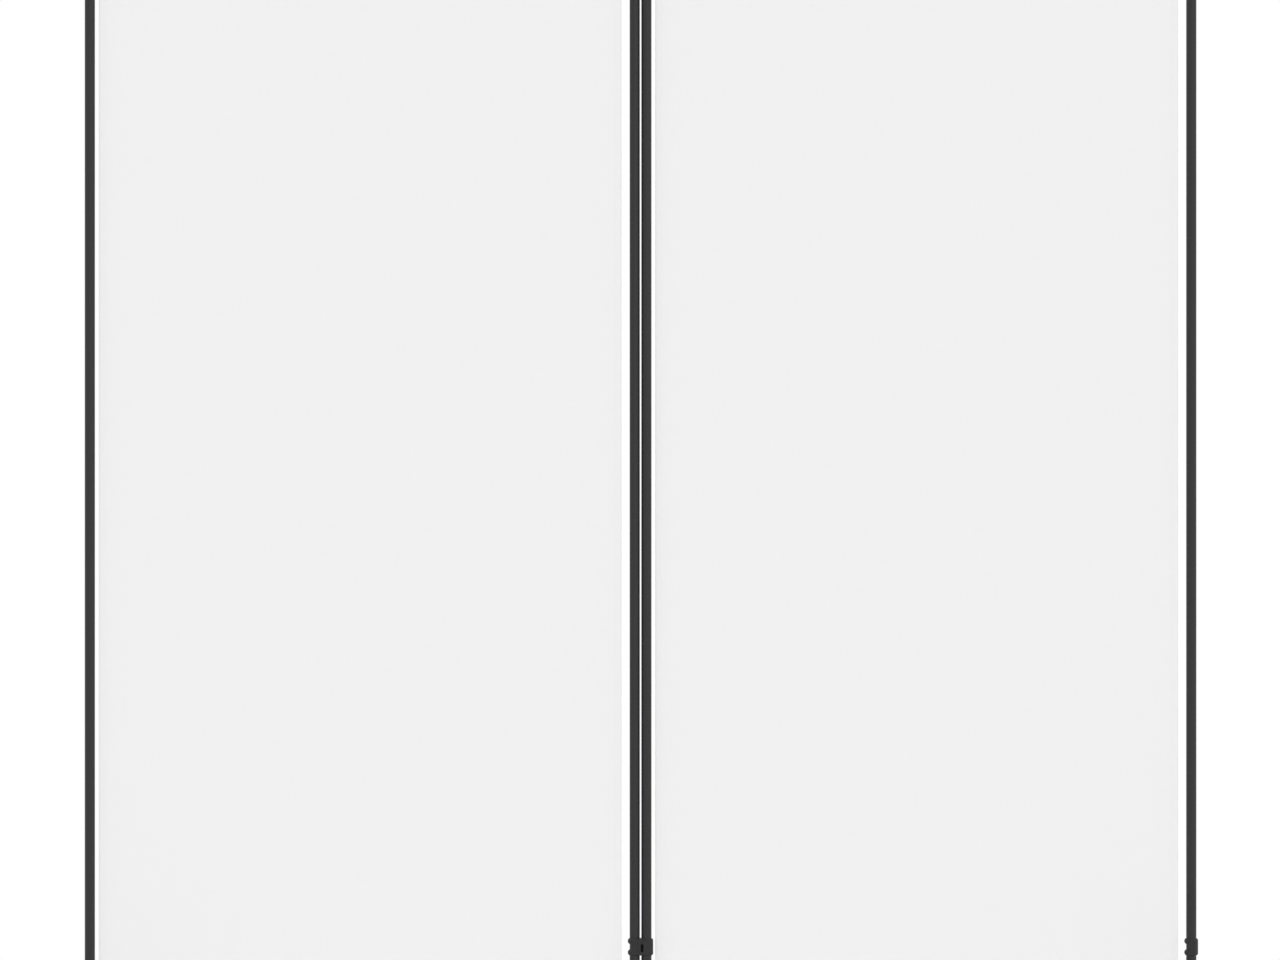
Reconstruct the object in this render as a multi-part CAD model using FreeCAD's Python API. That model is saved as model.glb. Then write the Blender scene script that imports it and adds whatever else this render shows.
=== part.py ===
import FreeCAD, Part
import math
import os

# A folding room divider of two cloth panels, standing with both panels in one line.
#
# Each panel is a frame of round steel tube: two posts, a top rail and a bottom rail. The rails push
# over stubs that are welded to the posts, and one screw holds each rail end. A sheet of cloth hangs
# between the rails in two sewn pockets. The two inner posts stand side by side and turn in moulded
# clips that close round both, so the screen folds flat either way. Each outer post stands on a
# crosswise foot that turns about the post, and each inner post stands on a plain tip.
#
# X runs along the screen, Y from its front to its back, and Z up. The origin is on the floor, midway
# between the two inner posts.

X = FreeCAD.Vector(1, 0, 0)
Y = FreeCAD.Vector(0, 1, 0)
Z = FreeCAD.Vector(0, 0, 1)

# Whole screen
height = 1800.0
post_spacing = 857.0
inner_post_gap = 2.4

# Post tube
post_diameter = 16.0
post_wall = 1.0

# Rail tube, and the places of the rails
rail_diameter = 14.0
rail_wall = 1.0
rail_end_gap = 0.3
bottom_rail_height = 100.0
top_rail_drop = 28.0

# Clearances, all on the radius, and the overrun of a cut
snug_clearance = 0.05
turning_clearance = 0.1
screw_clearance = 0.15
cut_overrun = 1.0

post_radius = post_diameter / 2
post_bore = post_radius - post_wall
rail_radius = rail_diameter / 2
rail_bore = rail_radius - rail_wall
inner_post_x = (post_diameter + inner_post_gap) / 2
outer_post_x = inner_post_x + post_spacing

# Crosswise foot
foot_length = 500.0
foot_wall = 1.2
foot_cap_thickness = 5.0
foot_cap_radius = 8.4
sole_height = 4.5
sole_width = 13.0
sole_length = 28.0
sole_corner = 2.5
foot_cap_edge = 2.0
foot_plug_length = 18.0
foot_plug_wall = 1.6

# Spigot of the foot, which the post turns on
collar_radius = 8.6
collar_height = 2.5
collar_skirt = 2.6
spigot_length = 70.0
spigot_wall = 2.0
spigot_chamfer = 0.8
groove_depth = 1.0
groove_side_play = 0.5

foot_radius = post_radius
foot_bore = foot_radius - foot_wall
foot_axis_height = sole_height + foot_radius
spigot_radius = post_bore - snug_clearance
post_bottom = foot_axis_height + foot_radius + collar_height

# Set screw and weld nut that lock the foot's angle
lock_screw_diameter = 5.0
lock_screw_height = 22.0
lock_tip_play = 0.25
lock_socket_width = 2.5
lock_socket_depth = 2.0
lock_nut_width = 8.0
lock_nut_height = 3.0

lock_radius = lock_screw_diameter / 2
lock_level = post_bottom + lock_screw_height
groove_radius = spigot_radius - groove_depth

# Cap at the top of each post
cap_height = 4.0
cap_edge = 2.5
cap_plug_length = 14.0
cap_plug_wall = 1.2

post_top = height - cap_height
top_rail_level = post_top - top_rail_drop

# Tip under each inner post
tip_radius = 8.5
tip_chamfer = 0.8
tip_straight = 6.0
tip_plug_length = 25.0
tip_plug_wall = 1.4

# Welded stub inside each rail end, and its screw
stub_length = 45.0
stub_wall = 2.0
rail_screw_diameter = 4.0
rail_screw_length = 5.5
rail_screw_setback = 9.0
rail_screw_head_diameter = 7.6
rail_screw_head_height = 2.2
rail_screw_socket_width = 2.5
rail_screw_socket_depth = 1.3

stub_radius = rail_bore - snug_clearance
rail_screw_radius = rail_screw_diameter / 2

# Cloth
cloth_left_gap = 6.2
cloth_right_gap = 12.8
cloth_thickness = 0.6
hem_thickness = 1.4
hem_width = 12.0
pocket_clearance = 0.3
pocket_reach = 34.0
seam_allowance = 12.0

pocket_radius = rail_radius + pocket_clearance
seam_thickness = 2 * cloth_thickness

# Clips
clip_height = 26.5
clip_edge = 1.8
clip_end_wall = 2.7
clip_side_wall = 1.8
clip_web_depth = 17.0
flex_slot_width = 4.2
flex_slot_height = 12.5
flex_slot_offset = 2.4
flex_slot_drop = 1.5
flex_slot_core = 3.0
finger_height = 8.6
finger_rise = 3.0
finger_rim = 0.9
window_reach = 4.5
closing_slit = 0.2
hook_thickness = 1.6
hook_overlap = 4.0
lower_clip_rise = 66.0
upper_clip_drop = 62.0

clip_levels = {"lower": bottom_rail_height + lower_clip_rise, "upper": top_rail_level - upper_clip_drop}

nodes = {}


def point(x, y, z):
    return FreeCAD.Vector(x, y, z)


def rod(radius, start, axis, length):
    """A solid round bar."""
    return Part.makeCylinder(radius, length, start, axis)


def tube(radius, bore, start, axis, length):
    """A round tube, cut square at both ends."""
    hollow = rod(bore, start - axis * cut_overrun, axis, length + 2 * cut_overrun)
    return rod(radius, start, axis, length).cut(hollow)


def hexagon_bar(width_across_flats, start, axis, length):
    """A hexagonal bar along X or Z, for nuts and sockets."""
    corner = width_across_flats / math.sqrt(3)
    other = axis.cross(Y)
    turns = [math.radians(60 * i) for i in range(7)]
    corners = [start + Y * (corner * math.cos(a)) + other * (corner * math.sin(a)) for a in turns]
    return Part.Face(Part.makePolygon(corners)).extrude(axis * length)


def box(low, high):
    """A block between two opposite corners."""
    size = high - low
    return Part.makeBox(size.x, size.y, size.z, low)


def edge_near(solid, place):
    """The edge of a solid whose middle lies nearest a point."""
    return min(solid.Edges, key=lambda edge: (edge.CenterOfMass - place).Length)


def keep(name, *solids):
    """Files the solids of one node under its name."""
    nodes[name] = [solid for shape in solids for solid in shape.Solids]


# Posts: one length of tube each, with a cap pushed in at the top


def post(x):
    return tube(post_radius, post_bore, point(x, 0, post_bottom), Z, post_top - post_bottom)


def post_cap(x):
    """A push-in cap with a rounded head, level with the tube all round."""
    start = point(x, 0, post_top)
    head = rod(post_radius, start, Z, cap_height)
    head = head.makeFillet(cap_edge, [edge_near(head, start + Z * cap_height)])
    plug_radius = post_bore - snug_clearance
    return head.fuse(tube(plug_radius, plug_radius - cap_plug_wall, start, Z * -1, cap_plug_length))


def inner_tip(x):
    """The plastic tip under an inner post: a tapered foot with a hollow plug in the tube."""
    taper_end = post_bottom - tip_straight
    chamfer = Part.makeCone(tip_radius - tip_chamfer, tip_radius, tip_chamfer, point(x, 0, 0), Z)
    taper_length = taper_end - tip_chamfer
    taper = Part.makeCone(tip_radius, post_radius, taper_length, point(x, 0, tip_chamfer), Z)
    neck = rod(post_radius, point(x, 0, taper_end), Z, tip_straight)
    plug_radius = post_bore - snug_clearance
    plug = tube(plug_radius, plug_radius - tip_plug_wall, point(x, 0, post_bottom), Z, tip_plug_length)
    return chamfer.fuse([taper, neck, plug])


# Rails: tubes that push over welded stubs, with a screw on the side that faces the cloth


def rail_stub(post_x, level, inward, cloth_side):
    """A stub welded to a post, with its tapped hole. cloth_side is 1 where the cloth lies above."""
    axis = X * inward
    start = point(post_x, 0, level)
    stub = tube(stub_radius, stub_radius - stub_wall, start, axis, post_radius + stub_length)
    stub = stub.cut(rod(post_radius, start - Z * rail_diameter, Z, 2 * rail_diameter))
    return stub.cut(rail_screw_hole(post_x, level, inward, cloth_side, snug_clearance))


def rail_screw_place(post_x, level, inward):
    return point(post_x + inward * (post_radius + rail_screw_setback), 0, level)


def rail_screw_hole(post_x, level, inward, cloth_side, clearance):
    place = rail_screw_place(post_x, level, inward)
    return rod(rail_screw_radius + clearance, place, Z * cloth_side, rail_diameter)


def rail(left_x, right_x, level, cloth_side):
    """A rail tube, its ends hollowed to follow the posts."""
    bar = tube(rail_radius, rail_bore, point(left_x, 0, level), X, right_x - left_x)
    for post_x, inward in ((left_x, 1), (right_x, -1)):
        below = point(post_x, 0, level - rail_diameter)
        mouth = rod(post_radius + rail_end_gap, below, Z, 2 * rail_diameter)
        bar = bar.cut(mouth)
        bar = bar.cut(rail_screw_hole(post_x, level, inward, cloth_side, screw_clearance))
    return bar


def rail_screw(post_x, level, inward, cloth_side):
    """A button-head socket screw, driven from the side of the rail that faces the cloth."""
    place = rail_screw_place(post_x, level, inward)
    out = Z * cloth_side
    seat = place + out * rail_radius
    head_radius = rail_screw_head_diameter / 2
    dome_radius = (head_radius**2 + rail_screw_head_height**2) / (2 * rail_screw_head_height)
    dome = Part.makeSphere(dome_radius, seat + out * (rail_screw_head_height - dome_radius))
    head = dome.common(rod(head_radius, seat, out, rail_screw_head_height))
    shank = rod(rail_screw_radius, seat - out * rail_screw_length, out, rail_screw_length)
    top = seat + out * rail_screw_head_height
    socket_start = top - out * rail_screw_socket_depth
    socket = hexagon_bar(rail_screw_socket_width, socket_start, out, rail_screw_socket_depth + cut_overrun)
    return head.fuse(shank).cut(socket)


# Cloth: one sheet with a pocket round each rail, and thicker hems down its sides


def teardrop(radius, reach, level, cloth_side):
    """The outline of a pocket from the side: round the rail, and drawn to a point at reach from it."""
    lean = math.acos(radius / reach)
    touch = point(0, radius * math.sin(lean), cloth_side * radius * math.cos(lean))
    axis = point(0, 0, level)
    back = axis + touch
    front = axis + point(0, -touch.y, touch.z)
    far = axis - Z * (cloth_side * radius)
    tip = axis + Z * (cloth_side * reach)
    edges = [Part.Arc(front, far, back).toShape(), Part.makeLine(back, tip), Part.makeLine(tip, front)]
    return Part.Face(Part.Wire(edges))


def pocket(left, right, level, cloth_side):
    """The cloth of one pocket, open at both ends."""
    outer_radius = pocket_radius + cloth_thickness
    outer = teardrop(outer_radius, pocket_reach * outer_radius / pocket_radius, level, cloth_side)
    inner = teardrop(pocket_radius, pocket_reach, level, cloth_side)
    ring = outer.cut(inner).extrude(X * (right - left))
    ring.translate(X * left)
    return ring


def cloth(left_x, right_x):
    """One cloth: the sheet, its two pockets, and the hems and seam allowances turned to its back."""
    left = left_x + post_radius + cloth_left_gap
    right = right_x - post_radius - cloth_right_gap
    low = bottom_rail_height + pocket_reach
    high = top_rail_level - pocket_reach
    front = -cloth_thickness / 2

    def strip(from_x, to_x, from_z, to_z, thickness):
        return box(point(from_x, front, from_z), point(to_x, front + thickness, to_z))

    pieces = [
        pocket(left, right, top_rail_level, -1),
        pocket(left, right, bottom_rail_height, 1),
        strip(left, left + hem_width, low, high, hem_thickness),
        strip(right - hem_width, right, low, high, hem_thickness),
        strip(left, right, low, low + seam_allowance, seam_thickness),
        strip(left, right, high - seam_allowance, high, seam_thickness),
    ]
    sheet = strip(left, right, low, high, cloth_thickness)
    return sheet.fuse(pieces).removeSplitter()


# Crosswise feet: a tube, a turning spigot and two end caps with soles


def foot_tube(x):
    length = foot_length - 2 * foot_cap_thickness
    return tube(foot_radius, foot_bore, point(x, -length / 2, foot_axis_height), Y, length)


def foot_spigot(x):
    """A hollow spigot with a collar, hollowed below to sit on the foot tube, and grooved for the lock."""
    skirt_start = post_bottom - collar_height - collar_skirt
    collar = rod(collar_radius, point(x, 0, skirt_start), Z, post_bottom - skirt_start)
    shaft_end = point(x, 0, post_bottom + spigot_length - spigot_chamfer)
    shaft = rod(spigot_radius, point(x, 0, skirt_start), Z, shaft_end.z - skirt_start)
    end = Part.makeCone(spigot_radius, spigot_radius - spigot_chamfer, spigot_chamfer, shaft_end, Z)
    spigot = collar.fuse([shaft, end])
    across = point(x, -collar_radius - cut_overrun, foot_axis_height)
    spigot = spigot.cut(rod(foot_radius, across, Y, 2 * (collar_radius + cut_overrun)))
    bore_length = post_bottom + spigot_length + cut_overrun - foot_axis_height
    spigot = spigot.cut(rod(spigot_radius - spigot_wall, point(x, 0, foot_axis_height), Z, bore_length))
    groove_height = lock_screw_diameter + 2 * groove_side_play
    groove_start = point(x, 0, lock_level - groove_height / 2)
    ring = rod(spigot_radius + cut_overrun, groove_start, Z, groove_height)
    return spigot.cut(ring.cut(rod(groove_radius, groove_start, Z, groove_height)))


def foot_cap(x, way):
    """An end cap: a plug in the foot tube, a round head, and a flat sole under the tube."""
    axis = Y * way
    end = point(x, way * (foot_length / 2 - foot_cap_thickness), foot_axis_height)
    head = rod(foot_cap_radius, end, axis, foot_cap_thickness)
    head = head.makeFillet(foot_cap_edge, [edge_near(head, end + axis * foot_cap_thickness)])
    plug_radius = foot_bore - snug_clearance
    plug = tube(plug_radius, plug_radius - foot_plug_wall, end, axis * -1, foot_plug_length)
    near, far = sorted((way * foot_length / 2, way * (foot_length / 2 - sole_length)))
    sole = box(point(x - sole_width / 2, near, 0), point(x + sole_width / 2, far, foot_axis_height))
    corners = [edge_near(sole, point(x + across * sole_width / 2, y, foot_axis_height / 2))
               for across in (-1, 1) for y in (near, far)]
    sole = sole.makeFillet(sole_corner, corners)
    sole = sole.cut(rod(foot_radius + snug_clearance, end, axis * -1, sole_length))
    return head.fuse([plug, sole]).removeSplitter()


def lock_nut(x, outward):
    """A thin hexagon nut, welded to the outer side of a post."""
    nut = hexagon_bar(lock_nut_width, point(x, 0, lock_level), X * outward, post_radius + lock_nut_height)
    nut = nut.cut(rod(post_radius, point(x, 0, lock_level - lock_nut_width), Z, 2 * lock_nut_width))
    return nut.cut(lock_hole(x, outward, snug_clearance))


def lock_hole(x, outward, clearance):
    length = post_radius + lock_nut_height + cut_overrun
    return rod(lock_radius + clearance, point(x, 0, lock_level), X * outward, length)


def lock_screw(x, outward):
    """A set screw whose tip stands in the spigot's groove, level with the nut's face outside."""
    axis = X * outward
    tip = point(x, 0, lock_level) + axis * (groove_radius + lock_tip_play)
    face = point(x, 0, lock_level) + axis * (post_radius + lock_nut_height)
    screw = rod(lock_radius, tip, axis, (face - tip).Length)
    socket_start = face - axis * lock_socket_depth
    return screw.cut(hexagon_bar(lock_socket_width, socket_start, axis, lock_socket_depth + cut_overrun))


# Clips: a moulding that closes round the posts, with two fingers on the left and a full wall on the right


def clip(left_post_x, right_post_x, level, clearance):
    """A clip round every post from left_post_x to right_post_x: the hinge has two, the end clip one.

    The right-hand end is one wall of full height. The left-hand end has a finger above and a finger
    below, with a window between them. A slit through the bores lets the moulding open there, and the
    web between two posts has slots to bend more easily.
    """
    bottom = level - clip_height / 2
    top = level + clip_height / 2
    reach = post_radius + clip_end_wall + finger_rise
    end_radius = post_radius + clip_end_wall
    half_depth = post_radius + clip_side_wall
    posts = sorted({left_post_x, right_post_x})

    body = clip_ring(right_post_x, bottom, end_radius)
    if len(posts) > 1:
        web_low = point(left_post_x, -clip_web_depth / 2, bottom)
        web = box(web_low, point(right_post_x, clip_web_depth / 2, top))
        body = body.fuse([clip_ring(left_post_x, bottom, end_radius), web])
        body = body.cut(flex_slots((left_post_x + right_post_x) / 2, level))
    open_low = point(left_post_x - reach, -reach, bottom - cut_overrun)
    body = body.cut(box(open_low, point(left_post_x - window_reach, reach, top + cut_overrun)))
    body = body.fuse([finger(left_post_x, bottom), finger(left_post_x, top - finger_height)])
    low = point(left_post_x - reach, -half_depth, bottom)
    body = body.common(box(low, point(right_post_x + reach, half_depth, top)))
    for x in posts:
        start = point(x, 0, bottom - cut_overrun)
        body = body.cut(rod(post_radius + clearance, start, Z, clip_height + 2 * cut_overrun))
    return body.cut(closing_line(left_post_x, right_post_x, bottom, top, reach))


def clip_ring(x, bottom, radius):
    """The full-height ring of a clip, bevelled above and below."""
    start = point(x, 0, bottom)
    ring = rod(radius, start, Z, clip_height)
    rims = [edge_near(ring, start), edge_near(ring, start + Z * clip_height)]
    return ring.makeChamfer(clip_edge, rims)


def finger(x, bottom):
    """One finger of a clip: the left half of a ring whose outside is domed from top to bottom."""
    low = point(x, 0, bottom)
    high = low + Z * finger_height
    out = X * (post_radius + finger_rim)
    dome = Part.Arc(low + out, (low + high) / 2 + X * (post_radius + finger_rise), high + out)
    sides = [Part.makeLine(low, low + out), dome.toShape(), Part.makeLine(high + out, high)]
    profile = Part.Face(Part.Wire(sides + [Part.makeLine(high, low)]))
    profile.rotate(low, Z, 90)
    return profile.revolve(low, Z, 180)


def flex_slots(middle_x, level):
    """The slots of a hinge clip, one from the front and one from the back, with a wall left between."""
    radius = flex_slot_width / 2
    rise = Z * (flex_slot_height / 2 - radius)
    depth = Y * (post_radius + clip_side_wall)
    floor = point(middle_x + flex_slot_offset, flex_slot_core / 2, level - flex_slot_drop)
    block = box(floor - rise - X * radius, floor + rise + X * radius + depth)
    back = block.fuse([rod(radius, end, Y, depth.Length) for end in (floor - rise, floor + rise)])
    return [back, back.mirror(point(0, 0, 0), Y)]


def closing_line(left_post_x, right_post_x, bottom, top, reach):
    """The thin slit of a clip: straight through the bores, and stepped round the hook on the left."""
    half = closing_slit / 2
    low = bottom - cut_overrun
    high = top + cut_overrun
    step_x = left_post_x - post_radius - finger_rise + hook_thickness
    straight = box(point(step_x - half, -half, low), point(right_post_x, half, high))
    step = box(point(step_x - half, -half, low), point(step_x + half, hook_overlap + half, high))
    mouth_low = point(left_post_x - reach, hook_overlap - half, low)
    mouth = box(mouth_low, point(step_x + half, hook_overlap + half, high))
    return straight.fuse([step, mouth])


def panel(side, left_x, right_x, outer_x):
    """Files every piece of one panel. outer_x is the post that stands on a crosswise foot."""
    rails = ((bottom_rail_height, 1), (top_rail_level, -1))
    ends = ((left_x, 1), (right_x, -1))
    outward = math.copysign(1, outer_x)
    for post_x in (left_x, right_x):
        if post_x == outer_x:
            keep(side + "_outer_post", post(post_x).cut(lock_hole(post_x, outward, screw_clearance)))
        else:
            keep(side + "_inner_post", post(post_x))
            keep(side + "_inner_post_tip", inner_tip(post_x))
    keep(side + "_post_caps", *[post_cap(post_x) for post_x, _ in ends])
    keep(side + "_bottom_rail", rail(left_x, right_x, bottom_rail_height, 1))
    keep(side + "_top_rail", rail(left_x, right_x, top_rail_level, -1))
    corners = [(post_x, level, inward, up) for level, up in rails for post_x, inward in ends]
    keep(side + "_rail_stubs", *[rail_stub(*corner) for corner in corners])
    keep(side + "_rail_screws", *[rail_screw(*corner) for corner in corners])
    keep(side + "_cloth", cloth(left_x, right_x))
    keep(side + "_foot_lock_nut", lock_nut(outer_x, outward))
    keep(side + "_foot_lock_screw", lock_screw(outer_x, outward))
    keep(side + "_foot_tube", foot_tube(outer_x))
    keep(side + "_foot_spigot", foot_spigot(outer_x))
    keep(side + "_foot_end_caps", foot_cap(outer_x, -1), foot_cap(outer_x, 1))


panel("left", -outer_post_x, -inner_post_x, -outer_post_x)
panel("right", inner_post_x, outer_post_x, outer_post_x)
for level_name, clip_level in clip_levels.items():
    keep("hinge_clip_" + level_name, clip(-inner_post_x, inner_post_x, clip_level, turning_clearance))
    keep("end_clip_" + level_name, clip(outer_post_x, outer_post_x, clip_level, snug_clearance))

os.makedirs("parts", exist_ok=True)
for node, solids in nodes.items():
    shape = solids[0] if len(solids) == 1 else Part.makeCompound(solids)
    shape.exportStep(f"parts/{node}.step")
    faults = [solid for solid in solids if not solid.isValid()]
    print(f"{node}: {len(solids)} solids, {shape.Volume:.0f} mm3, {len(faults)} faulty")
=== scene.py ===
import math

import bpy
import numpy as np
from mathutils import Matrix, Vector


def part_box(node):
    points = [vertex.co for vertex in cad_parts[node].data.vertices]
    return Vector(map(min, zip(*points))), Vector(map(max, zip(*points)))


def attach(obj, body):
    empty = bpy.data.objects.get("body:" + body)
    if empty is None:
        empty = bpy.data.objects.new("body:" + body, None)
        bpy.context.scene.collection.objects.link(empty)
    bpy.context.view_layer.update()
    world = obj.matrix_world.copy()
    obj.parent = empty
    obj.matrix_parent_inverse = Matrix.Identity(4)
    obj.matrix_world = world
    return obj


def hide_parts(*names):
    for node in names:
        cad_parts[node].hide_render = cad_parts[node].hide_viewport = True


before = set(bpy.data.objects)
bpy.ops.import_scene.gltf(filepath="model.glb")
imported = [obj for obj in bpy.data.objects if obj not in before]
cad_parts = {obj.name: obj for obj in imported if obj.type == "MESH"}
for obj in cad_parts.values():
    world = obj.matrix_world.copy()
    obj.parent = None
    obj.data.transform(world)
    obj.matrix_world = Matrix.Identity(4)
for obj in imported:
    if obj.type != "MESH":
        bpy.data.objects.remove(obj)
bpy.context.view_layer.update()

# A folding screen of two cloth panels in steel frames. The sections follow it as it is put together:
# feet and their welds, end caps, posts, lock nuts, tips and caps, rails, cloths, stitches and clips.
# The studio comes last.


# Each crosswise foot is a length of round steel tube with a hollow spigot welded upright at its
# middle, powder-coated dark grey after the welding. Its outer post slips over the spigot and turns.

SIDES = ("left", "right")
STEEL_GREY = (0.020, 0.020, 0.0207)
COAT_ROUGHNESS = 0.44
COAT_SPECULAR = 0.33
PEEL_PATCHES = 700.0
PEEL_DETAIL = 3.0
PEEL_SHARE = 0.7
PEEL_DEPTH = 0.00016
SPECK_PATCHES = 1900.0
SPECK_SHARE = 0.3
CLOUD_PATCHES = 5.0
SCUFF_TOP = 0.021
SCUFF_TOP_SOFTNESS = 0.002
SCUFF_PATCHES = 110.0
SCUFF_STRETCH = (1.0, 0.2, 1.0)
SCUFF_SHARE = 0.10
SCUFF_SOFTNESS = 0.04
POLISH_SOFTNESS = 0.001

# How much each kind of variation changes the coat's colour and its roughness.
CLOUD_TINT, SPECK_TINT, SCUFF_TINT = 0.08, 0.30, 0.3
CLOUD_ROUGHNESS, SPECK_ROUGHNESS, SCUFF_ROUGHNESS, POLISH_ROUGHNESS = 0.08, 0.10, 0.15, 0.10

# Noise runs from 0 to 1 about its middle. A shade runs from the dark share of its colour to the light one.
NOISE_MIDDLE = 0.5
PLAIN_DETAIL = 1.0
SHADE_SHARES = (0.5, 1.5)

# Sockets whose names aren't their own: the two colours of a Mix node, and its mixed colour.
MIX_FIRST_COLOUR, MIX_SECOND_COLOUR, MIXED_COLOUR = 6, 7, 2


class Graph:
    """A node tree that is being built."""

    def __init__(self, tree):
        self.tree = tree

    def add(self, kind, settings=None, inputs=None, output=0):
        """A node of any kind: its settings are made first, then the values or links of its sockets."""
        node = self.tree.nodes.new(kind)
        for name, value in (settings or {}).items():
            setattr(node, name, value)
        for key, value in (inputs or {}).items():
            if isinstance(value, Signal):
                self.tree.links.new(value.socket, node.inputs[key])
            else:
                node.inputs[key].default_value = value
        return Signal(self, node.outputs[output] if node.outputs else None)


class Signal:
    """One output socket. Sums on it add Math nodes to its tree."""

    def __init__(self, graph, socket):
        self.graph = graph
        self.socket = socket

    def math(self, operation, *terms):
        return self.graph.add("ShaderNodeMath", {"operation": operation}, dict(enumerate(terms)))

    def __add__(self, other):
        return self.math("ADD", self, other)

    def __sub__(self, other):
        return self.math("SUBTRACT", self, other)

    def __rsub__(self, other):
        return self.math("SUBTRACT", other, self)

    def __mul__(self, other):
        return self.math("MULTIPLY", self, other)

    __radd__ = __add__
    __rmul__ = __mul__

    def part(self, axis):
        """One number of a place: X, Y or Z."""
        return self.graph.add("ShaderNodeSeparateXYZ", None, {0: self}, output=axis)

    def over(self, threshold, softness):
        """1 where the number is over a threshold and 0 where it is under, with a soft step between."""
        ends = {"Value": self, "From Min": threshold - softness, "From Max": threshold + softness}
        return self.graph.add("ShaderNodeMapRange", {"interpolation_type": "SMOOTHSTEP"}, ends)


class Finish(Graph):
    """One material. The steady values of its shader are given, and the varying ones are linked to it."""

    def __init__(self, name, steady):
        self.material = bpy.data.materials.new(name)
        self.material.use_nodes = True
        super().__init__(self.material.node_tree)
        self.shader = self.tree.nodes["Principled BSDF"]
        for socket, value in steady.items():
            self.shader.inputs[socket].default_value = value

    def place(self):
        """A point's place on the screen, in metres."""
        return self.add("ShaderNodeTexCoord", output="Object")

    def noise(self, place, patches, detail=2.0, stretch=(1.0, 1.0, 1.0)):
        """Cloudy variation about 0, with so many patches to the metre."""
        drawn = self.add("ShaderNodeMapping", None, {"Vector": place, "Scale": stretch})
        cloud = self.add("ShaderNodeTexNoise", None, {"Vector": drawn, "Scale": patches, "Detail": detail})
        return cloud - NOISE_MIDDLE

    def shade(self, colour, variation):
        """The base colour, from half as light where the variation is -0.5 to half as light again at 0.5."""
        dark, light = ([c * share for c in colour] + [1.0] for share in SHADE_SHARES)
        ends = {0: variation + NOISE_MIDDLE, MIX_FIRST_COLOUR: dark, MIX_SECOND_COLOUR: light}
        mixed = self.add("ShaderNodeMix", {"data_type": "RGBA"}, ends, output=MIXED_COLOUR)
        self.tree.links.new(mixed.socket, self.shader.inputs["Base Color"])

    def roughen(self, roughness):
        self.tree.links.new(roughness.socket, self.shader.inputs["Roughness"])

    def emboss(self, height, depth):
        """Bumps of a height that varies about 0, and of a depth in metres."""
        raised = height + NOISE_MIDDLE
        bump = self.add("ShaderNodeBump", None, {"Height": raised, "Distance": depth, "Strength": 1.0})
        self.tree.links.new(bump.socket, self.shader.inputs["Normal"])


def powder_coat(name, clip_levels=()):
    """The steel's coat: fine orange peel, shoe scuffs by the floor, and bands polished by the clips."""
    coat = Finish(name, {"Specular IOR Level": COAT_SPECULAR})
    spot = coat.place()
    level = spot.part("Z")
    peel = coat.noise(spot, PEEL_PATCHES, detail=PEEL_DETAIL)
    speck = coat.noise(spot, SPECK_PATCHES, detail=PLAIN_DETAIL)
    cloud = coat.noise(spot, CLOUD_PATCHES)
    streak = coat.noise(spot, SCUFF_PATCHES, stretch=SCUFF_STRETCH).over(SCUFF_SHARE, SCUFF_SOFTNESS)
    scuff = (1 - level.over(SCUFF_TOP, SCUFF_TOP_SOFTNESS)) * streak
    coat.shade(STEEL_GREY, cloud * CLOUD_TINT + speck * SPECK_TINT + scuff * SCUFF_TINT)
    roughness = cloud * CLOUD_ROUGHNESS + speck * SPECK_ROUGHNESS + scuff * SCUFF_ROUGHNESS + COAT_ROUGHNESS
    for low, high in clip_levels:
        polished = level.over(low, POLISH_SOFTNESS) * (1 - level.over(high, POLISH_SOFTNESS))
        roughness = roughness - polished * POLISH_ROUGHNESS
    coat.roughen(roughness)
    coat.emboss(peel * PEEL_SHARE + speck * SPECK_SHARE, PEEL_DEPTH)
    return coat


def finish_nodes(finish, *names):
    """Gives CAD nodes their material."""
    for name in names:
        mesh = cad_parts[name].data
        mesh.materials.clear()
        mesh.materials.append(finish.material)


coated = powder_coat("powder_coat")
for side in SIDES:
    finish_nodes(coated, f"{side}_foot_tube", f"{side}_foot_spigot")


# The weld round each spigot is a row of overlapping drops of steel, laid where the collar meets the
# foot tube, and coated with the rest.

WELD_DROP = 0.0012
WELD_STEP = 0.0006
WELD_POINTS = 61
WELD_WIDEST_SHARE = 0.78
WELD_UNEVEN_SHARES = (0.94, 1.06)
WELD_DROP_SHARES = (0.9, 1.1, 0.85)
WELD_SEED = 4
DROP_SUBDIVISIONS = 2

# Sockets whose names aren't their own: the least, the most and the result of a random number.
RANDOM_LEAST, RANDOM_MOST, RANDOM_NUMBER = 2, 3, 1


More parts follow.
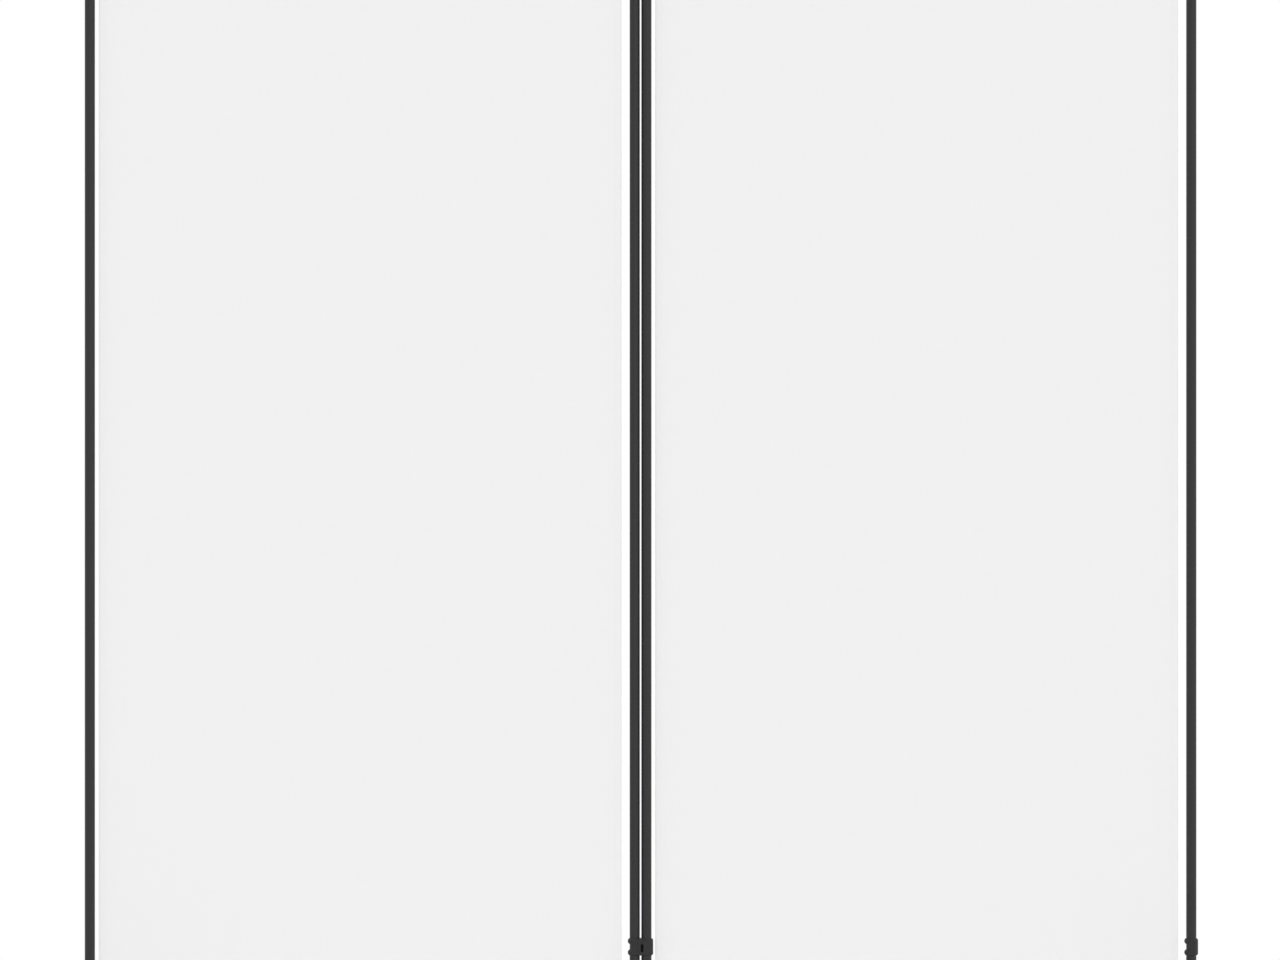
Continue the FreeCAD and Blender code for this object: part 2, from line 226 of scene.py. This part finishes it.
class Pattern(Graph):
    """A Geometry Nodes tree that lays one small shape along lines of points."""

    def __init__(self, name):
        super().__init__(bpy.data.node_groups.new(name, "GeometryNodeTree"))
        self.lines = self.size("Lines", "NodeSocketGeometry")
        self.tree.interface.new_socket("Geometry", in_out="OUTPUT", socket_type="NodeSocketGeometry")

    def size(self, name, kind="NodeSocketFloat"):
        """A named input of the tree."""
        self.tree.interface.new_socket(name, in_out="INPUT", socket_type=kind)
        return self.add("NodeGroupInput", output=name)

    def vector(self, *numbers):
        return self.add("ShaderNodeCombineXYZ", None, dict(enumerate(numbers)))

    def along(self, shape, step, scale, finish):
        """Lays the shape a step apart, its X along the line and its Z the way the line faces out."""
        curve = self.add("GeometryNodeMeshToCurve", None, {"Mesh": self.lines})
        spaced = self.add("GeometryNodeResampleCurve", {"mode": "LENGTH"}, {"Curve": curve, "Length": step})
        ahead = self.add("GeometryNodeInputTangent")
        outward = self.add("GeometryNodeInputNamedAttribute", {"data_type": "FLOAT_VECTOR"},
                           {"Name": "outward"})
        turned = self.add("FunctionNodeAlignRotationToVector", {"axis": "X"}, {"Vector": ahead})
        turned = self.add("FunctionNodeAlignRotationToVector", {"axis": "Z", "pivot_axis": "X"},
                          {"Rotation": turned, "Vector": outward})
        placed = self.add("GeometryNodeInstanceOnPoints", None,
                          {"Points": spaced, "Instance": shape, "Rotation": turned, "Scale": scale})
        real = self.add("GeometryNodeRealizeInstances", None, {"Geometry": placed})
        done = self.add("GeometryNodeSetMaterial", None, {"Geometry": real, "Material": finish.material})
        self.add("NodeGroupOutput", None, {"Geometry": done})

    def make(self, name, lines, sizes):
        """A plain mesh piece: the pattern along lines, each a list of places and one of outward ways."""
        places = [place for line, _ in lines for place in line]
        outward = [way for _, ways in lines for way in ways]
        links = []
        for line, _ in lines:
            start = links[-1][1] + 1 if links else 0
            links += [(i, i + 1) for i in range(start, start + len(line) - 1)]
        mesh = bpy.data.meshes.new(name)
        mesh.from_pydata(places, links, [])
        ways = mesh.attributes.new("outward", "FLOAT_VECTOR", "POINT")
        ways.data.foreach_set("vector", np.array(outward, np.float32).ravel())
        piece = bpy.data.objects.new(name, mesh)
        bpy.context.scene.collection.objects.link(piece)
        modifier = piece.modifiers.new("pattern", "NODES")
        modifier.node_group = self.tree
        for item in self.tree.interface.items_tree:
            if item.in_out == "INPUT" and item.name in sizes:
                modifier[item.identifier] = sizes[item.name]
        evaluated = piece.evaluated_get(bpy.context.evaluated_depsgraph_get())
        piece.data = bpy.data.meshes.new_from_object(evaluated)
        piece.modifiers.clear()
        bpy.data.meshes.remove(mesh)
        piece.data.name = name
        return piece


def middle(node):
    low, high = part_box(node)
    return (low + high) / 2


def half_width(node):
    low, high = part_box(node)
    return (high.x - low.x) / 2


weld = Pattern("weld")
drop_radius = weld.size("Drop Radius")
drop = weld.add("GeometryNodeMeshIcoSphere", None,
                {"Radius": drop_radius, "Subdivisions": DROP_SUBDIVISIONS})
drop = weld.add("GeometryNodeSetShadeSmooth", None, {"Geometry": drop})
least, most = WELD_UNEVEN_SHARES
uneven = weld.add("FunctionNodeRandomValue", {"data_type": "FLOAT"},
                  {RANDOM_LEAST: least, RANDOM_MOST: most, "Seed": WELD_SEED}, output=RANDOM_NUMBER)
weld.along(drop, weld.size("Step"), weld.vector(*[uneven * share for share in WELD_DROP_SHARES]), coated)

for side in SIDES:
    axis = middle(f"{side}_foot_tube")
    tube_radius = half_width(f"{side}_foot_tube")
    collar_radius = half_width(f"{side}_foot_spigot")
    widest = WELD_WIDEST_SHARE * tube_radius
    places, ways = [], []
    for turn in np.linspace(0, 2 * math.pi, WELD_POINTS):
        x = min(widest, max(-widest, collar_radius * math.cos(turn)))
        height = math.sqrt(tube_radius**2 - x**2)
        places.append((axis.x + x, collar_radius * math.sin(turn), axis.z + height))
        ways.append((math.cos(turn), math.sin(turn), 1.0))
    bead = weld.make(f"{side}_foot_weld", [(places, ways)], {"Drop Radius": WELD_DROP, "Step": WELD_STEP})
    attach(bead, f"{side}_foot")


# The end caps of the feet are injection-moulded in dark plastic with a spark-eroded matte surface, and
# push into the tube. Their flat soles stand on the floor and are scuffed lighter there.

PLASTIC_GREY = (0.0165, 0.0165, 0.017)
PLASTIC_SPECULAR = 0.33
MATTE_ROUGHNESS = 0.58
GRAIN_PATCHES = 2600.0
GRAIN_DEPTH = 0.00010
FLOW_PATCHES = 40.0
SOLE_SCUFF_TOP = 0.0012
SOLE_SCUFF_PATCHES = 260.0

# How much each kind of variation changes the plastic's colour and its roughness.
GRAIN_TINT, FLOW_TINT, SOLE_SCUFF_TINT = 0.30, 0.10, 0.5
GRAIN_ROUGHNESS, SOLE_SCUFF_ROUGHNESS = 0.12, 0.2


def moulded_plastic(name, roughness):
    """Plastic with a fine grain, the slow variation of its flow in the mould, and scuffs by the floor."""
    plastic = Finish(name, {"Specular IOR Level": PLASTIC_SPECULAR})
    spot = plastic.place()
    grain = plastic.noise(spot, GRAIN_PATCHES, detail=PLAIN_DETAIL)
    flow = plastic.noise(spot, FLOW_PATCHES)
    worn = plastic.noise(spot, SOLE_SCUFF_PATCHES) + NOISE_MIDDLE
    scuff = (1 - spot.part("Z").over(SOLE_SCUFF_TOP, SOLE_SCUFF_TOP)) * worn
    plastic.shade(PLASTIC_GREY, grain * GRAIN_TINT + flow * FLOW_TINT + scuff * SOLE_SCUFF_TINT)
    plastic.roughen(grain * GRAIN_ROUGHNESS + scuff * SOLE_SCUFF_ROUGHNESS + roughness)
    plastic.emboss(grain, GRAIN_DEPTH)
    return plastic


matte_plastic = moulded_plastic("matte_plastic", MATTE_ROUGHNESS)
for side in SIDES:
    finish_nodes(matte_plastic, f"{side}_foot_end_caps")


# The posts are the same tube as the feet, one length each, with the same coat. The coat of the three
# posts that carry clips is polished where the clips turn and slide on it.

CLIP_RUB = 0.002

clip_levels = []
for clip in ("end_clip_lower", "end_clip_upper"):
    low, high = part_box(clip)
    clip_levels.append((low.z - CLIP_RUB, high.z + CLIP_RUB))
rubbed = powder_coat("powder_coat_rubbed", clip_levels)
finish_nodes(coated, "left_outer_post")
finish_nodes(rubbed, "left_inner_post", "right_inner_post", "right_outer_post")


# A thin hexagon nut is welded to the outer side of each outer post, over a hole. The set screw in it,
# of black-oxide steel, bears in a groove of the spigot and holds the foot at its angle.

NUT_WELD_DROP = 0.0008
NUT_WELD_STEP = 0.0004
NUT_WELD_RADIUS = 0.0044
NUT_WELD_POINTS = 37
OXIDE_BLACK = (0.024, 0.024, 0.026)
OXIDE_METAL = 0.8
OXIDE_ROUGHNESS = 0.38
OIL_PATCHES = 900.0
OIL_ROUGHNESS = 0.2
WORN_PATCHES = 500.0
WORN_TINT = 0.5
WORN_ROUGHNESS = 0.1

black_oxide = Finish("black_oxide", {"Metallic": OXIDE_METAL})
spot = black_oxide.place()
worn = black_oxide.noise(spot, WORN_PATCHES)
oil = black_oxide.noise(spot, OIL_PATCHES)
black_oxide.shade(OXIDE_BLACK, worn * WORN_TINT)
black_oxide.roughen(oil * OIL_ROUGHNESS + worn * WORN_ROUGHNESS + OXIDE_ROUGHNESS)

for side in SIDES:
    finish_nodes(coated, f"{side}_foot_lock_nut")
    finish_nodes(black_oxide, f"{side}_foot_lock_screw")
    post = middle(f"{side}_outer_post")
    nut = middle(f"{side}_foot_lock_nut")
    post_radius = half_width(f"{side}_outer_post")
    outward = math.copysign(1, nut.x)
    places = []
    for turn in np.linspace(0, 2 * math.pi, NUT_WELD_POINTS):
        y = NUT_WELD_RADIUS * math.cos(turn)
        x = post.x + outward * math.sqrt(post_radius**2 - y**2)
        places.append((x, y, nut.z + NUT_WELD_RADIUS * math.sin(turn)))
    ways = [(outward, 0.0, 0.0)] * len(places)
    bead = weld.make(f"{side}_nut_weld", [(places, ways)],
                     {"Drop Radius": NUT_WELD_DROP, "Step": NUT_WELD_STEP})
    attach(bead, f"{side}_panel")


# The inner posts stand on tapered plastic tips, and all four posts have rounded caps. Tips and caps
# are moulded like the end caps of the feet, and their plugs grip inside the tube.

for side in SIDES:
    finish_nodes(matte_plastic, f"{side}_inner_post_tip", f"{side}_post_caps")


# The rails are thinner tube. Each end slips over a stub welded to its post, and a button-head screw of
# black-oxide steel goes through both. The cloth's pockets cover the rails and the screws.

for side in SIDES:
    finish_nodes(coated, f"{side}_bottom_rail", f"{side}_top_rail", f"{side}_rail_stubs")
    finish_nodes(black_oxide, f"{side}_rail_screws")


# Each cloth is one width of plain-woven polyester, held taut. Its ends turn round the rails and are
# sewn to its back, and its side edges are turned to the back twice and sewn down as hems.

CLOTH_THICKNESS = 0.0006
HEM_THICKNESS = 0.0014
HEM_WIDTH = 0.012
HEM_ROUNDING = 0.0009
HEM_ROUNDING_POINTS = 6
HEM_STITCH_INSET = 0.010
POCKET_RADIUS = 0.0076
POCKET_REACH = 0.034
POCKET_POINTS = 33
SEAM_ALLOWANCE = 0.012
SEAM_STITCHES = (0.0025, 0.0095)
ROW_TOLERANCE = HEM_ROUNDING / 10
ROW_SPACING = 0.022
COLUMN_SPACING = 0.007
PUCKER_DEPTH = 0.00022
PUCKER_REACH = 0.020
PUCKER_WAVES = (0.046, 0.071)
THREAD_PITCH = 0.0005
WEAVE_DEPTH = 0.00005
CLOTH_WHITE = (0.86, 0.86, 0.86)
CLOTH_ROUGHNESS = 0.85
CLOTH_SPECULAR = 0.2
CLOTH_SHEEN = 0.1
SHEEN_ROUGHNESS = 0.5
SLUB_PATCHES = 18.0
SLUB_STRETCH = 60.0
SLUB_TINT = 0.02
SLUB_HEIGHT_SHARE = 0.3
CROSSING_TINT = 0.01
CROSSING_HEIGHT_SHARE = 0.5

# The share of its rounding at which a hem's edge starts, so that its two faces don't meet in one line.
EDGE_SHARE = 0.0013


def pocket_path(rail_z, way):
    """The middle line of one end of the cloth, from the sheet round the rail and back to the sheet.

    way is 1 at the top rail and -1 at the bottom one. Entries are y, z and the layer: 0 in the sheet and
    1 in the allowance that is sewn behind it.
    """
    lean = math.acos(POCKET_RADIUS / POCKET_REACH)
    seam_z = rail_z - way * POCKET_REACH
    offsets = (0.0,) + SEAM_STITCHES + (SEAM_ALLOWANCE,)
    sheet = [(0.0, seam_z - way * offset, 0.0) for offset in reversed(offsets)]
    allowance = [(0.0, seam_z - way * offset, 1.0) for offset in offsets]
    ring = [(POCKET_RADIUS * math.sin(a), rail_z + way * POCKET_RADIUS * math.cos(a), 0.0)
            for a in np.linspace(lean - math.pi, math.pi - lean, POCKET_POINTS)]
    return sheet + ring + allowance


def evenly(path, spacing):
    """The path with more points on its long runs, no further apart than the spacing."""
    points = [path[0]]
    for start, end in zip(path, path[1:]):
        count = max(1, math.ceil(math.dist(start[:2], end[:2]) / spacing))
        points += [tuple(np.add(start, np.subtract(end, start) * i / count)) for i in range(1, count + 1)]
    return np.array(points)


def columns_across(width):
    """Distances from the cloth's left edge, close together over the rounding of the hems."""
    rounding = HEM_ROUNDING * (1 - np.cos(np.linspace(0, math.pi / 2, HEM_ROUNDING_POINTS)))
    hem = [HEM_WIDTH / 3, HEM_WIDTH * 2 / 3, HEM_STITCH_INSET, HEM_WIDTH, HEM_WIDTH + CLOTH_THICKNESS]
    near = np.concatenate([rounding, hem])
    count = math.ceil((width - 2 * near[-1]) / COLUMN_SPACING)
    between = np.linspace(near[-1], width - near[-1], count + 1)[1:-1]
    return np.concatenate([near, between, width - near[::-1]])


class ClothForm:
    """The stretched form of one cloth: grids of places with a row for each point of its path."""

    def __init__(self, side):
        low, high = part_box(f"{side}_cloth")
        bottom = pocket_path(middle(f"{side}_bottom_rail").z, -1)
        top = pocket_path(middle(f"{side}_top_rail").z, 1)
        self.path = evenly(bottom[::-1] + top, ROW_SPACING)
        self.columns = columns_across(high.x - low.x)
        self.allowance_ends = (bottom[0][1], top[0][1])
        self.seams = (bottom[0][1] - SEAM_ALLOWANCE, top[0][1] + SEAM_ALLOWANCE)
        self.width = high.x - low.x

        y, z, layer = self.path.T
        from_edge = np.minimum(self.columns, self.width - self.columns)
        hemmed = np.where(from_edge < HEM_WIDTH + CLOTH_THICKNESS / 2, HEM_THICKNESS, CLOTH_THICKNESS)
        rounded = np.sqrt(1 - (1 - np.clip(from_edge / HEM_ROUNDING, EDGE_SHARE, 1)) ** 2)
        ahead = np.gradient(np.stack([y + layer * CLOTH_THICKNESS, z], axis=1), axis=0)
        ahead /= np.linalg.norm(ahead, axis=1)[:, None]
        outward = np.stack([0 * z, -ahead[:, 1], ahead[:, 0]], axis=1)

        from_end = np.minimum(z - self.allowance_ends[0], self.allowance_ends[1] - z) / PUCKER_REACH
        from_end = np.clip(from_end, 0, None)
        swell = from_end * np.exp(1 - from_end) * (layer == 0)
        waves = sum(np.sin(2 * math.pi * (low.x + self.columns) / wave) for wave in PUCKER_WAVES)
        pucker = PUCKER_DEPTH * waves * np.clip((from_edge - HEM_WIDTH) / PUCKER_REACH, 0, 1)
        past_seam = np.maximum(self.seams[0] - z, z - self.seams[1])
        round_rail = np.clip(past_seam / POCKET_RADIUS, 0, 1) * (layer < 1)
        turned_in = hemmed - CLOTH_THICKNESS

        sheet = np.zeros((len(z), len(self.columns), 3))
        sheet[:, :, 0] = low.x + self.columns
        behind = np.outer(layer, CLOTH_THICKNESS + 2 * turned_in)
        sheet[:, :, 1] = y[:, None] + behind - np.outer(swell, pucker)
        sheet[:, :, 2] = z[:, None]
        sheet += outward[:, None, :] * np.outer(round_rail - 0.5, turned_in)[:, :, None]
        half = outward[:, None, :] * (hemmed * rounded / 2)[None, :, None]
        self.outer = sheet + half
        self.inner = sheet - half
        self.outward = np.broadcast_to(outward[:, None, :], sheet.shape)

    def threads(self):
        """Each point's place on the flat cloth, for both faces, and the cloth's length."""
        steps = np.linalg.norm(np.diff(self.path[:, :2], axis=0), axis=1)
        up = np.concatenate([[0], np.cumsum(steps)])
        places = np.zeros((2,) + self.outer.shape, np.float32)
        places[..., 0] = self.columns
        places[..., 1] = up[:, None]
        return places.ravel(), up[-1]

    def mesh(self, name):
        """The closed mesh: both faces, and the thin wall round their border."""
        rows, across = self.outer.shape[:2]
        back = rows * across
        quads = []
        for start in range(0, back - across, across):
            for i in range(start, start + across - 1):
                quads.append((i, i + 1, i + across + 1, i + across))
                quads.append((back + i, back + i + across, back + i + across + 1, back + i + 1))
        border = list(range(across))
        border += range(2 * across - 1, back, across)
        border += range(back - 2, back - across - 1, -1)
        border += range(back - 2 * across, 0, -across)
        for a, b in zip(border, border[1:] + border[:1]):
            quads.append((b, a, back + a, back + b))
        places = np.concatenate([self.outer.reshape(-1, 3), self.inner.reshape(-1, 3)])
        mesh = bpy.data.meshes.new(name)
        mesh.from_pydata(places.tolist(), [], quads)
        mesh.shade_smooth()
        return mesh

    def stitch_lines(self):
        """Lines of places and outward ways for the hem stitches and the two rows at each seam."""
        y, z, layer = self.path.T
        flat = (layer == 0) & (z > self.allowance_ends[0]) & (z < self.allowance_ends[1])
        hem = int(np.argmin(abs(self.columns - HEM_STITCH_INSET)))
        lines = []
        for column in (hem, len(self.columns) - 1 - hem):
            lines.append((self.outer[:, column], self.outward[:, column]))
            lines.append((self.inner[flat, column], -self.outward[flat, column]))
        for seam, way in zip(self.seams, (1, -1)):
            for offset in SEAM_STITCHES:
                for row in np.flatnonzero(abs(z - seam - way * offset) < ROW_TOLERANCE):
                    sewn = slice(hem, len(self.columns) - hem)
                    lines.append((self.outer[row, sewn], self.outward[row, sewn]))
        return [(places.tolist(), ways.tolist()) for places, ways in lines]


woven = Finish("woven_polyester", {"Roughness": CLOTH_ROUGHNESS, "Specular IOR Level": CLOTH_SPECULAR,
                                   "Sheen Weight": CLOTH_SHEEN, "Sheen Roughness": SHEEN_ROUGHNESS})
place = woven.add("ShaderNodeAttribute", {"attribute_name": "thread_place"}, output="Vector")
turns = [place.part(axis) * (math.pi / THREAD_PITCH) for axis in "XY"]
warp, weft = (woven.add("ShaderNodeMath", {"operation": "SINE"}, {0: turn}) for turn in turns)
crossing = warp * weft
slub_up = woven.noise(place, SLUB_PATCHES, stretch=(SLUB_STRETCH, 1.0, 1.0))
slub_across = woven.noise(place, SLUB_PATCHES, stretch=(1.0, SLUB_STRETCH, 1.0))
woven.shade(CLOTH_WHITE, (slub_up + slub_across) * SLUB_TINT + crossing * CROSSING_TINT)
height = crossing * CROSSING_HEIGHT_SHARE + slub_up * SLUB_HEIGHT_SHARE + slub_across * SLUB_HEIGHT_SHARE
woven.emboss(height, WEAVE_DEPTH)

forms = {side: ClothForm(side) for side in SIDES}


# The hems and pocket seams are lockstitched in white polyester thread, which shows alike on the face
# and the back: one row down each hem, and two rows across each seam.

STITCH_PITCH = 0.0033
STITCH_LENGTH = 0.0026
STITCH_DIP = 0.00015
STITCH_RISE = 0.00012
THREAD_RADIUS = 0.00017
THREAD_SIDES = 4
BOW_STEPS = 4
TWIST_PATCHES = 4000.0
TWIST_DEPTH = THREAD_RADIUS / 4
TWIST_TINT = 0.06
THREAD_WHITE = (0.84, 0.84, 0.84)
THREAD_ROUGHNESS = 0.7
THREAD_SPECULAR = 0.3

sewing_thread = Finish("sewing_thread",
                       {"Roughness": THREAD_ROUGHNESS, "Specular IOR Level": THREAD_SPECULAR})
twist = sewing_thread.noise(sewing_thread.place(), TWIST_PATCHES, detail=PLAIN_DETAIL)
sewing_thread.shade(THREAD_WHITE, twist * TWIST_TINT)
sewing_thread.emboss(twist, TWIST_DEPTH)

lockstitch = Pattern("lockstitch")
half_length = lockstitch.size("Length") * 0.5
depth = 0 - lockstitch.size("Dip")
crest = lockstitch.size("Rise") * 2 - depth
bow = lockstitch.add("GeometryNodeCurveQuadraticBezier", None, {
    "Resolution": BOW_STEPS, "Start": lockstitch.vector(0 - half_length, 0.0, depth),
    "Middle": lockstitch.vector(0.0, 0.0, crest), "End": lockstitch.vector(half_length, 0.0, depth)})
yarn = lockstitch.add("GeometryNodeCurvePrimitiveCircle", None,
                      {"Resolution": THREAD_SIDES, "Radius": lockstitch.size("Thread Radius")})
stitch = lockstitch.add("GeometryNodeCurveToMesh", None,
                        {"Curve": bow, "Profile Curve": yarn, "Fill Caps": True})
stitch = lockstitch.add("GeometryNodeSetShadeSmooth", None, {"Geometry": stitch})
lockstitch.along(stitch, lockstitch.size("Pitch"), lockstitch.vector(1.0, 1.0, 1.0), sewing_thread)

for side in SIDES:
    form = forms[side]
    mesh = form.mesh(f"{side}_cloth_sheet")
    places, length = form.threads()
    mesh.attributes.new("thread_place", "FLOAT_VECTOR", "POINT").data.foreach_set("vector", places)
    mesh.materials.append(woven.material)
    cloth = bpy.data.objects.new(mesh.name, mesh)
    bpy.context.scene.collection.objects.link(cloth)
    stitches = lockstitch.make(f"{side}_cloth_stitches", form.stitch_lines(), {
        "Length": STITCH_LENGTH, "Dip": STITCH_DIP, "Rise": STITCH_RISE, "Thread Radius": THREAD_RADIUS,
        "Pitch": STITCH_PITCH})
    for piece in (cloth, stitches):
        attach(piece, f"{side}_panel")
    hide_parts(f"{side}_cloth")


# The clips are moulded in one piece of the same plastic, with a slit that lets them open round the
# posts. Hands press them shut, so they are a little smoother than the caps.

SMOOTH_ROUGHNESS = 0.50

smooth_plastic = moulded_plastic("smooth_plastic", SMOOTH_ROUGHNESS)
finish_nodes(smooth_plastic, "hinge_clip_lower", "hinge_clip_upper", "end_clip_lower", "end_clip_upper")


# The studio is a pale floor that turns white away from the screen, an even white surround, and one
# broad soft lamp at the front right. None of it is part of the screen.

PHOTO_WIDTH = 2.0133
LENS = 120.0
SENSOR = 36.0
CAMERA_X = -0.0009
CAMERA_Z = 0.9
SURROUND = 0.80
LAMP_STRENGTH = 1.0
LAMP_ANGLE = math.radians(45)
LAMP_FROM = (0.44, -0.63, 0.64)
FLOOR_SIZE = 80.0
FLOOR_PALE = (0.84, 0.84, 0.84, 1.0)
FLOOR_ROUGHNESS = 0.9
FLOOR_SPECULAR = 0.1
FLOOR_REACH = (1.8, 1.15)
FADE_SHARE = 0.75
FADE_SOFTNESS = 0.25

scene = bpy.context.scene
scene.view_settings.view_transform = "Standard"
camera_data = bpy.data.cameras.new("camera")
camera_data.lens = LENS
camera_data.sensor_width = SENSOR
camera = bpy.data.objects.new("camera", camera_data)
camera.location = (CAMERA_X, -PHOTO_WIDTH * LENS / SENSOR, CAMERA_Z)
camera.rotation_euler = (math.pi / 2, 0, 0)
scene.collection.objects.link(camera)
scene.camera = camera

lamp_data = bpy.data.lights.new("lamp", "SUN")
lamp_data.energy = LAMP_STRENGTH
lamp_data.angle = LAMP_ANGLE
lamp = bpy.data.objects.new("lamp", lamp_data)
lamp.rotation_euler = Vector(LAMP_FROM).to_track_quat("Z", "Y").to_euler()
scene.collection.objects.link(lamp)


def seen(graph):
    """1 for what the camera sees, in itself, in a gloss or through glass, and 0 for light on the screen."""
    camera_ray, glossy_ray, glass_ray = (graph.add("ShaderNodeLightPath", output=f"Is {kind} Ray")
                                         for kind in ("Camera", "Glossy", "Transmission"))
    return camera_ray + glossy_ray + glass_ray


world = bpy.data.worlds.new("surround")
world.use_nodes = True
scene.world = world
world.node_tree.nodes.clear()
sky = Graph(world.node_tree)
even, white = (sky.add("ShaderNodeBackground", None, {"Color": (1, 1, 1, 1), "Strength": strength})
               for strength in (SURROUND, 1.0))
sky.add("ShaderNodeOutputWorld", None,
        {"Surface": sky.add("ShaderNodeMixShader", None, {0: seen(sky), 1: even, 2: white})})

pale = Finish("studio_floor", {"Base Color": FLOOR_PALE, "Roughness": FLOOR_ROUGHNESS,
                               "Specular IOR Level": FLOOR_SPECULAR})
shares = {0: pale.place(), 1: (1 / FLOOR_REACH[0], 1 / FLOOR_REACH[1], 0.0)}
away = pale.add("ShaderNodeVectorMath", {"operation": "MULTIPLY"}, shares)
away = pale.add("ShaderNodeVectorMath", {"operation": "LENGTH"}, {0: away}, output="Value")
away = away.over(FADE_SHARE, FADE_SOFTNESS)
glow = pale.add("ShaderNodeEmission", None, {"Color": (1, 1, 1, 1), "Strength": 1.0})
shown = Signal(pale, pale.shader.outputs[0])
shown = pale.add("ShaderNodeMixShader", None, {0: away * seen(pale), 1: shown, 2: glow})
pale.tree.links.new(shown.socket, pale.tree.nodes["Material Output"].inputs["Surface"])

bpy.ops.mesh.primitive_plane_add(size=FLOOR_SIZE)
floor = bpy.context.active_object
floor.name = "floor"
floor.data.materials.append(pale.material)
